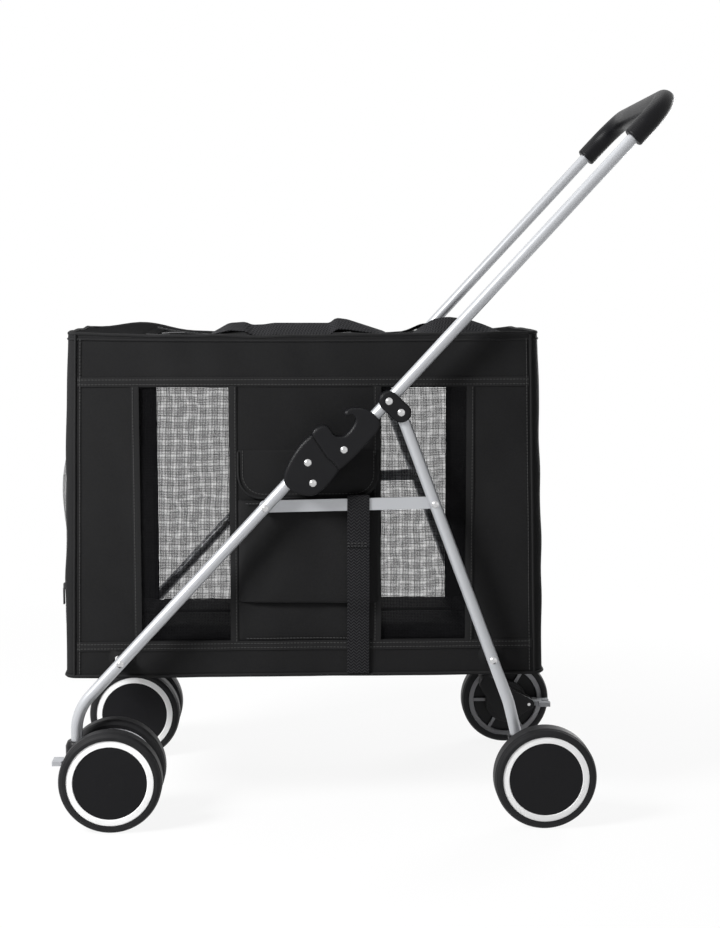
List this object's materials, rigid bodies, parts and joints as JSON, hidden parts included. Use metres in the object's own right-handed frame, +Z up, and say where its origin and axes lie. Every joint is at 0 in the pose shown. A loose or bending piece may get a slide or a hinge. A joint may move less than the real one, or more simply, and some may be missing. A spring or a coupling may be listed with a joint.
{
  "type": "folding pet stroller",
  "caption": "Folding pet stroller with a mesh-windowed fabric cabin, tubular frame that folds on side locks, swivelling front casters and braked rear wheels.",
  "frame": {"origin": "on the floor under the middle of the overall length and width", "axes": "+X towards the handle end, +Y to the pusher's right, +Z up"},
  "size_m": [0.852, 0.4576, 1.0027],
  "materials": {
    "silver_tube": "satin",
    "bright_rivet": "polished",
    "axle_steel": "brushed",
    "grip_foam": "matte",
    "black_tyre": "matte",
    "wheel_hub": "satin",
    "grey_plastic": "satin",
    "black_plastic": "satin",
    "floor_board": "matte",
    "pad_fabric": "matte",
    "black_mesh": "matte",
    "webbing": "matte",
    "black_fabric": "matte"
  },
  "bodies": {
    "rear_frame": {"rear_leg_left": "silver_tube", "rear_leg_right": "silver_tube", "rear_cross_tube": "silver_tube", "brake_housing_left": "black_plastic", "brake_housing_right": "black_plastic", "rear_axles": "axle_steel", "rear_rivets": "bright_rivet"},
    "handle": {"handle_tube": "silver_tube", "handle_grip": "grip_foam", "leg_brackets": "black_plastic", "handle_rivets": "bright_rivet"},
    "front_frame": {"front_leg_left": "silver_tube", "front_leg_right": "silver_tube", "front_cross_tube": "silver_tube", "lock_lower_left": "black_plastic", "lock_lower_right": "black_plastic", "caster_socket_left": "black_plastic", "caster_socket_right": "black_plastic", "front_rivets": "bright_rivet"},
    "carrier": {"floor_board": "floor_board", "floor_pad": "pad_fabric", "side_panel_left": "black_fabric", "side_panel_right": "black_fabric", "front_panel": "black_fabric", "rear_panel": "black_fabric", "window_nets": "black_mesh", "pockets": "black_fabric", "pocket_flaps": "black_fabric", "link_straps": "webbing"},
    "roof": {"roof_panel": "black_fabric", "carry_handles": "webbing"},
    "top_door": {"top_door": "black_mesh"},
    "front_door": {"front_door": "black_mesh"},
    "lock_collar_left": {"lock_collar_left": "black_plastic", "collar_rivet_left": "bright_rivet"},
    "side_link_left": {"side_link_left": "silver_tube"},
    "caster_left": {"caster_fork_left": "black_plastic", "caster_axle_left": "axle_steel"},
    "swivel_lever_left": {"swivel_lock_lever_left": "grey_plastic"},
    "brake_lever_left": {"brake_lever_left": "grey_plastic"},
    "rear_wheel_left": {"rear_tyre_left": "black_tyre", "rear_hub_left": "wheel_hub"},
    "caster_wheel_outer_left": {"caster_tyre_outer_left": "black_tyre", "caster_hub_outer_left": "wheel_hub"},
    "caster_wheel_inner_left": {"caster_tyre_inner_left": "black_tyre", "caster_hub_inner_left": "wheel_hub"},
    "lock_collar_right": {"lock_collar_right": "black_plastic", "collar_rivet_right": "bright_rivet"},
    "side_link_right": {"side_link_right": "silver_tube"},
    "caster_right": {"caster_fork_right": "black_plastic", "caster_axle_right": "axle_steel"},
    "swivel_lever_right": {"swivel_lock_lever_right": "grey_plastic"},
    "brake_lever_right": {"brake_lever_right": "grey_plastic"},
    "rear_wheel_right": {"rear_tyre_right": "black_tyre", "rear_hub_right": "wheel_hub"},
    "caster_wheel_outer_right": {"caster_tyre_outer_right": "black_tyre", "caster_hub_outer_right": "wheel_hub"},
    "caster_wheel_inner_right": {"caster_tyre_inner_right": "black_tyre", "caster_hub_inner_right": "wheel_hub"}
  },
  "joints": [
    {"name": "fold", "type": "hinge", "parent": "rear_frame", "child": "handle", "pos_m": [0.05121, 0, 0.56791], "axis": [0, 1, 0], "range_deg": [0, 103], "deforming": ["link_straps"]},
    {"name": "front_fold", "type": "hinge", "parent": "handle", "child": "front_frame", "pos_m": [-0.06804, 0, 0.47275], "axis": [0, 1, 0], "range_deg": [-150.1, 0.1]},
    {"name": "carrier_fold", "type": "hinge", "parent": "front_frame", "child": "carrier", "pos_m": [-0.33128, 0, 0.225], "axis": [0, 1, 0], "range_deg": [-47.2, 0.1]},
    {"name": "link_fold_left", "type": "hinge", "parent": "rear_frame", "child": "side_link_left", "pos_m": [0.09821, -0.1613, 0.44221], "axis": [0, 1, 0], "range_deg": [-0.1, 56.7]},
    {"name": "lock_slide_left", "type": "slide", "parent": "handle", "child": "lock_collar_left", "axis": [0.6811, 0, 0.7322], "range_m": [0, 0.012], "stiffness_N_per_m": 300, "springref_m": -0.01},
    {"name": "caster_swivel_left", "type": "hinge", "parent": "front_frame", "child": "caster_left", "pos_m": [-0.39266, -0.175, 0.098], "axis": [0, 0, 1], "continuous": true},
    {"name": "caster_spin_outer_left", "type": "hinge", "parent": "caster_left", "child": "caster_wheel_outer_left", "pos_m": [-0.34396, -0.207, 0.07], "axis": [0, 1, 0], "continuous": true},
    {"name": "caster_spin_inner_left", "type": "hinge", "parent": "caster_left", "child": "caster_wheel_inner_left", "pos_m": [-0.34396, -0.143, 0.07], "axis": [0, 1, 0], "continuous": true},
    {"name": "swivel_lock_left", "type": "hinge", "parent": "caster_left", "child": "swivel_lever_left", "pos_m": [-0.40466, -0.175, 0.088], "axis": [0, 1, 0], "range_deg": [0, 25]},
    {"name": "rear_spin_left", "type": "hinge", "parent": "rear_frame", "child": "rear_wheel_left", "pos_m": [0.24763, -0.212, 0.07], "axis": [0, 1, 0], "continuous": true},
    {"name": "brake_left", "type": "hinge", "parent": "rear_frame", "child": "brake_lever_left", "pos_m": [0.28163, -0.177, 0.07], "axis": [0, 1, 0], "range_deg": [0, 22]},
    {"name": "link_fold_right", "type": "hinge", "parent": "rear_frame", "child": "side_link_right", "pos_m": [0.09821, 0.1613, 0.44221], "axis": [0, 1, 0], "range_deg": [-0.1, 56.7]},
    {"name": "lock_slide_right", "type": "slide", "parent": "handle", "child": "lock_collar_right", "axis": [0.6811, 0, 0.7322], "range_m": [0, 0.012], "stiffness_N_per_m": 300, "springref_m": -0.01},
    {"name": "caster_swivel_right", "type": "hinge", "parent": "front_frame", "child": "caster_right", "pos_m": [-0.39266, 0.175, 0.098], "axis": [0, 0, 1], "continuous": true},
    {"name": "caster_spin_outer_right", "type": "hinge", "parent": "caster_right", "child": "caster_wheel_outer_right", "pos_m": [-0.34396, 0.207, 0.07], "axis": [0, 1, 0], "continuous": true},
    {"name": "caster_spin_inner_right", "type": "hinge", "parent": "caster_right", "child": "caster_wheel_inner_right", "pos_m": [-0.34396, 0.143, 0.07], "axis": [0, 1, 0], "continuous": true},
    {"name": "swivel_lock_right", "type": "hinge", "parent": "caster_right", "child": "swivel_lever_right", "pos_m": [-0.40466, 0.175, 0.088], "axis": [0, 1, 0], "range_deg": [0, 25]},
    {"name": "rear_spin_right", "type": "hinge", "parent": "rear_frame", "child": "rear_wheel_right", "pos_m": [0.24763, 0.212, 0.07], "axis": [0, 1, 0], "continuous": true},
    {"name": "brake_right", "type": "hinge", "parent": "rear_frame", "child": "brake_lever_right", "pos_m": [0.28163, 0.177, 0.07], "axis": [0, 1, 0], "range_deg": [0, 22]},
    {"name": "roof_drop", "type": "slide", "parent": "carrier", "child": "roof", "axis": [0, 0, -1], "range_m": [-0.0005, 0.3755]},
    {"name": "top_door_hinge", "type": "hinge", "parent": "roof", "child": "top_door", "pos_m": [-0.29968, 0, 0.674], "axis": [0, -1, 0], "range_deg": [0, 95]},
    {"name": "front_door_hinge", "type": "hinge", "parent": "carrier", "child": "front_door", "pos_m": [-0.39531, 0.0994, 0.411], "axis": [-0.0419, 0, -0.9991], "range_deg": [0, 95]}
  ],
  "couplings": [
    {"joint": "front_fold", "follows": "fold", "ratio": -1.4563},
    {"joint": "carrier_fold", "follows": "fold", "ratio": -0.45699},
    {"joint": "link_fold_left", "follows": "fold", "ratio": 0.54903},
    {"joint": "link_fold_right", "follows": "fold", "ratio": 0.54903},
    {"joint": "roof_drop", "follows": "fold", "m_per_rad": 0.2086}
  ]
}
